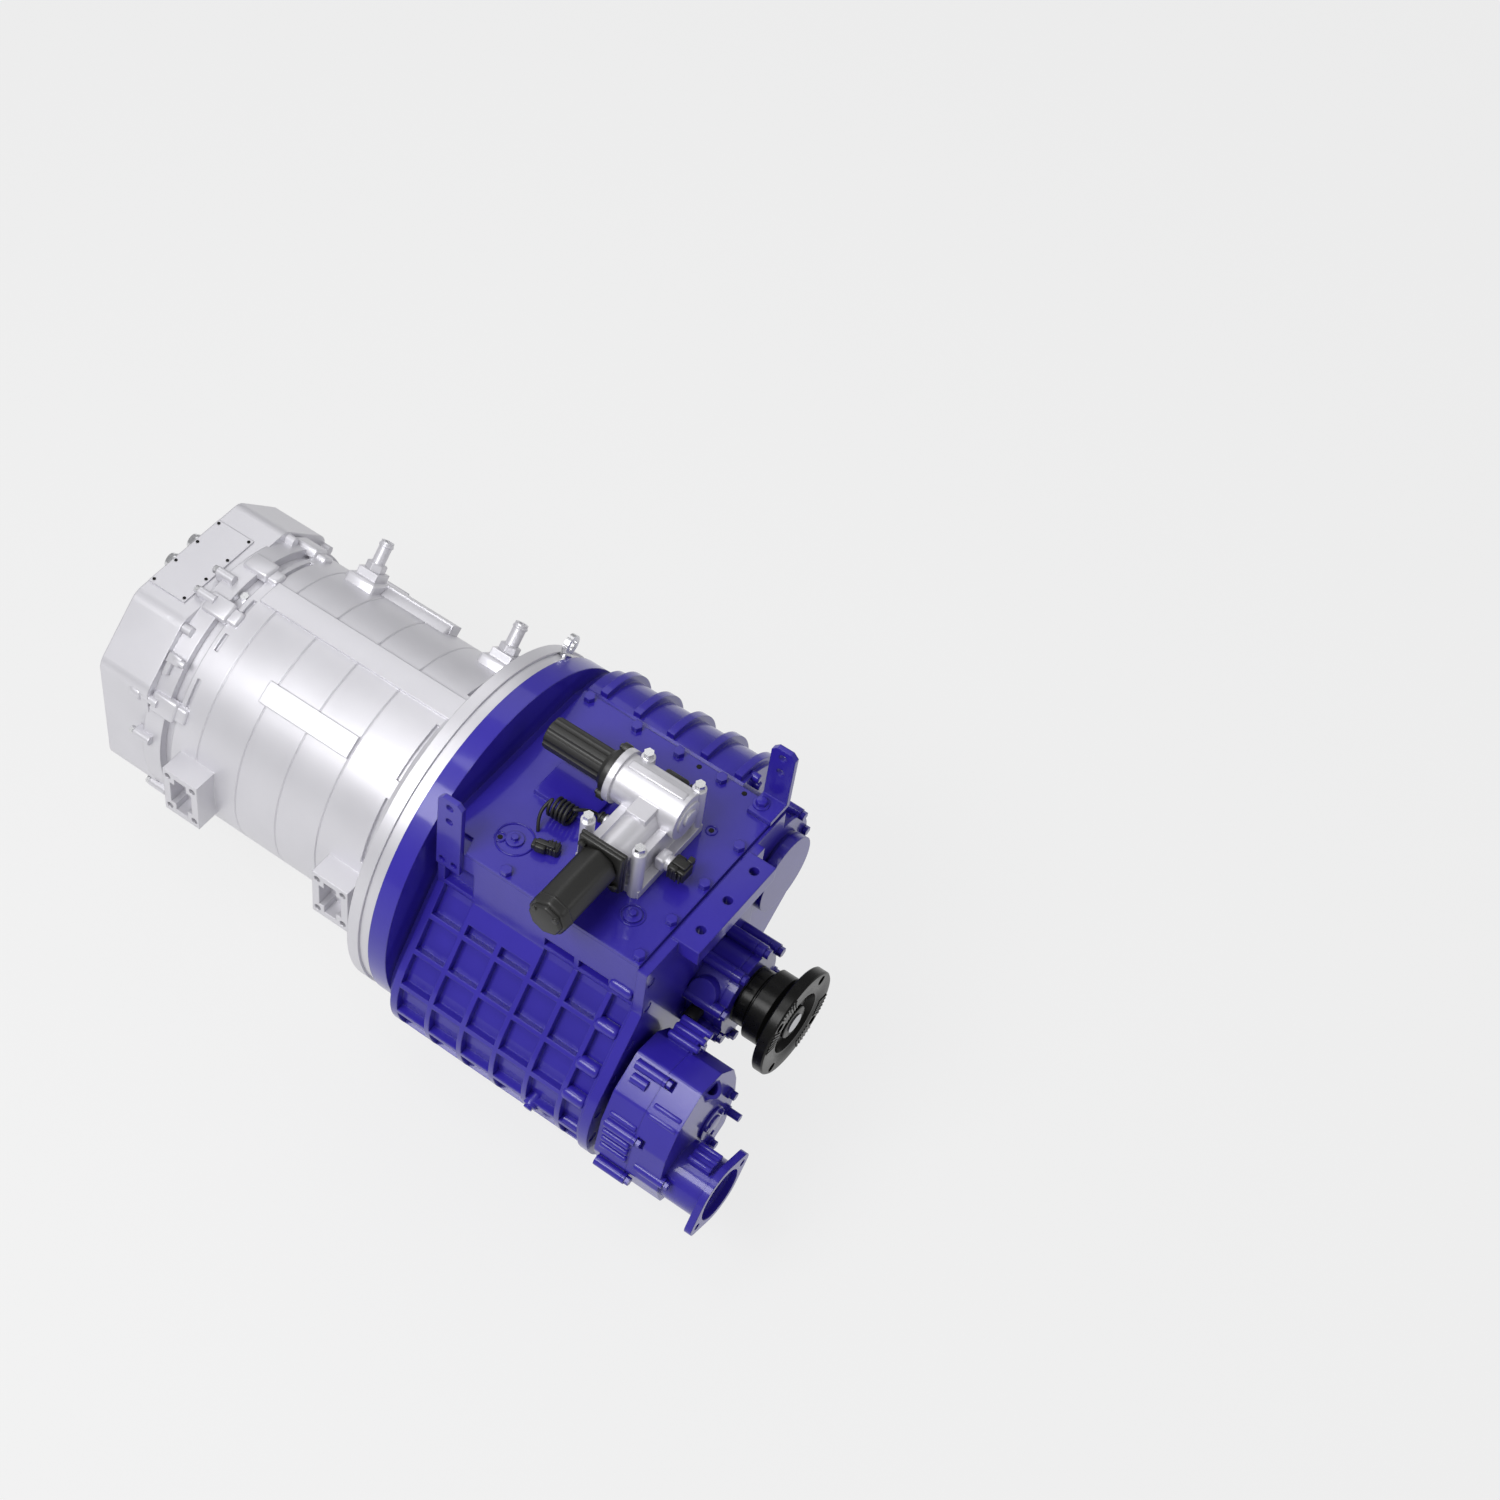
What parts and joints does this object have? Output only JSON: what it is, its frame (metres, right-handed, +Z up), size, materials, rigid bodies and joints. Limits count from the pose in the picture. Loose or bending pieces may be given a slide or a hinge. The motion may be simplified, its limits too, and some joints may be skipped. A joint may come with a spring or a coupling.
{
  "type": "electric drive unit",
  "caption": "Electric traction motor with a twin-countershaft shifting gearbox, electric shift actuator, power take-off for a pump and a flanged output.",
  "frame": {"origin": "centre of the bolt circle on the output flange's face", "axes": "+X along the output shaft, out of the flange; +Z up; +Y towards the side away from the power take-off"},
  "size_m": [1.145, 0.565, 0.5839],
  "materials": {
    "bare_cast_aluminium": "satin",
    "blue_enamel": "satin",
    "zinc_plated_steel": "satin",
    "black_plastic": "matte",
    "machined_steel": "satin",
    "lamination_steel": "matte",
    "copper_winding": "satin",
    "phosphated_steel": "satin",
    "black_rubber": "matte"
  },
  "bodies": {
    "housing": {"motor_housing": "bare_cast_aluminium", "front_end_shield": "bare_cast_aluminium", "rear_end_shield": "bare_cast_aluminium", "rear_end_cover": "bare_cast_aluminium", "terminal_cover": "bare_cast_aluminium", "terminal_screws": "zinc_plated_steel", "cable_glands": "black_plastic", "end_cover_bolts": "zinc_plated_steel", "signal_connector": "black_plastic", "coolant_nozzles": "bare_cast_aluminium", "lifting_eye": "zinc_plated_steel", "stator_core": "lamination_steel", "stator_windings": "copper_winding", "motor_bearings": "machined_steel", "resolver_stator": "black_plastic", "gearbox_case": "blue_enamel", "rear_cover": "blue_enamel", "rear_cover_bolts": "blue_enamel", "top_cover": "blue_enamel", "top_cover_bolts": "blue_enamel", "oil_plugs": "blue_enamel", "left_lifting_bracket": "blue_enamel", "right_lifting_bracket": "blue_enamel", "countershaft_cap": "blue_enamel", "output_housing": "blue_enamel", "speed_sensor": "black_plastic", "output_cap": "blue_enamel", "output_bolts": "blue_enamel", "output_seal": "black_rubber", "gearbox_bearings": "machined_steel", "shift_actuator_body": "bare_cast_aluminium", "actuator_bolts": "zinc_plated_steel", "shift_motor": "black_plastic", "select_motor": "black_plastic", "actuator_connectors": "black_plastic", "coiled_lead": "black_rubber", "pto_housing": "blue_enamel", "pto_cover": "blue_enamel", "pto_bolts": "blue_enamel"},
    "rotor": {"rotor_core": "lamination_steel", "motor_shaft": "machined_steel", "resolver_rotor": "machined_steel", "input_shaft": "machined_steel"},
    "right_counter": {"right_countershaft": "machined_steel", "right_countershaft_gears": "machined_steel"},
    "left_counter": {"left_countershaft": "machined_steel", "left_countershaft_gears": "machined_steel", "pto_drive_gear": "machined_steel"},
    "output": {"output_shaft": "machined_steel", "output_flange": "phosphated_steel", "output_nut": "zinc_plated_steel"},
    "low": {"low_gear": "machined_steel"},
    "high": {"high_gear": "machined_steel"},
    "sleeve": {"shift_sleeve": "machined_steel"},
    "rail": {"shift_rail": "machined_steel", "shift_fork": "machined_steel"},
    "carriage": {"shift_carriage": "machined_steel"},
    "finger": {"select_finger": "machined_steel"},
    "pto": {"pto_shaft": "machined_steel"}
  },
  "joints": [
    {"name": "rotor_spin", "type": "hinge", "parent": "housing", "child": "rotor", "pos_m": [-0.727, 0, 0], "axis": [1, 0, 0], "continuous": true},
    {"name": "right_countershaft_spin", "type": "hinge", "parent": "housing", "child": "right_counter", "pos_m": [-0.327, 0.152, 0.083], "axis": [1, 0, 0], "continuous": true},
    {"name": "left_countershaft_spin", "type": "hinge", "parent": "housing", "child": "left_counter", "pos_m": [-0.327, -0.152, -0.083], "axis": [1, 0, 0], "continuous": true},
    {"name": "output_spin", "type": "hinge", "parent": "housing", "child": "output", "pos_m": [-0.127, 0, 0], "axis": [1, 0, 0], "continuous": true},
    {"name": "low_gear_spin", "type": "hinge", "parent": "housing", "child": "low", "pos_m": [-0.289, 0, 0], "axis": [1, 0, 0], "continuous": true},
    {"name": "high_gear_spin", "type": "hinge", "parent": "housing", "child": "high", "pos_m": [-0.376, 0, 0], "axis": [1, 0, 0], "continuous": true},
    {"name": "pto_spin", "type": "hinge", "parent": "housing", "child": "pto", "pos_m": [-0.047, -0.224, -0.112], "axis": [1, 0, 0], "continuous": true},
    {"name": "carriage_slide", "type": "slide", "parent": "housing", "child": "carriage", "axis": [1, 0, 0], "range_m": [-0.026, 0]},
    {"name": "rail_slide", "type": "slide", "parent": "housing", "child": "rail", "axis": [1, 0, 0], "range_m": [-0.026, 0]},
    {"name": "sleeve_slide", "type": "slide", "parent": "output", "child": "sleeve", "axis": [1, 0, 0], "range_m": [-0.026, 0]},
    {"name": "finger_slide", "type": "slide", "parent": "carriage", "child": "finger", "axis": [0, 1, 0], "range_m": [0, 0.01]}
  ],
  "couplings": [
    {"joint": "right_countershaft_spin", "follows": "rotor_spin", "ratio": -0.79167},
    {"joint": "left_countershaft_spin", "follows": "rotor_spin", "ratio": -0.79167},
    {"joint": "output_spin", "follows": "rotor_spin", "ratio": 0.38218},
    {"joint": "low_gear_spin", "follows": "rotor_spin", "ratio": 0.38218},
    {"joint": "high_gear_spin", "follows": "rotor_spin", "ratio": 0.75568},
    {"joint": "pto_spin", "follows": "rotor_spin", "ratio": 0.79167},
    {"joint": "rail_slide", "follows": "carriage_slide", "ratio": 1},
    {"joint": "sleeve_slide", "follows": "carriage_slide", "ratio": 1}
  ]
}
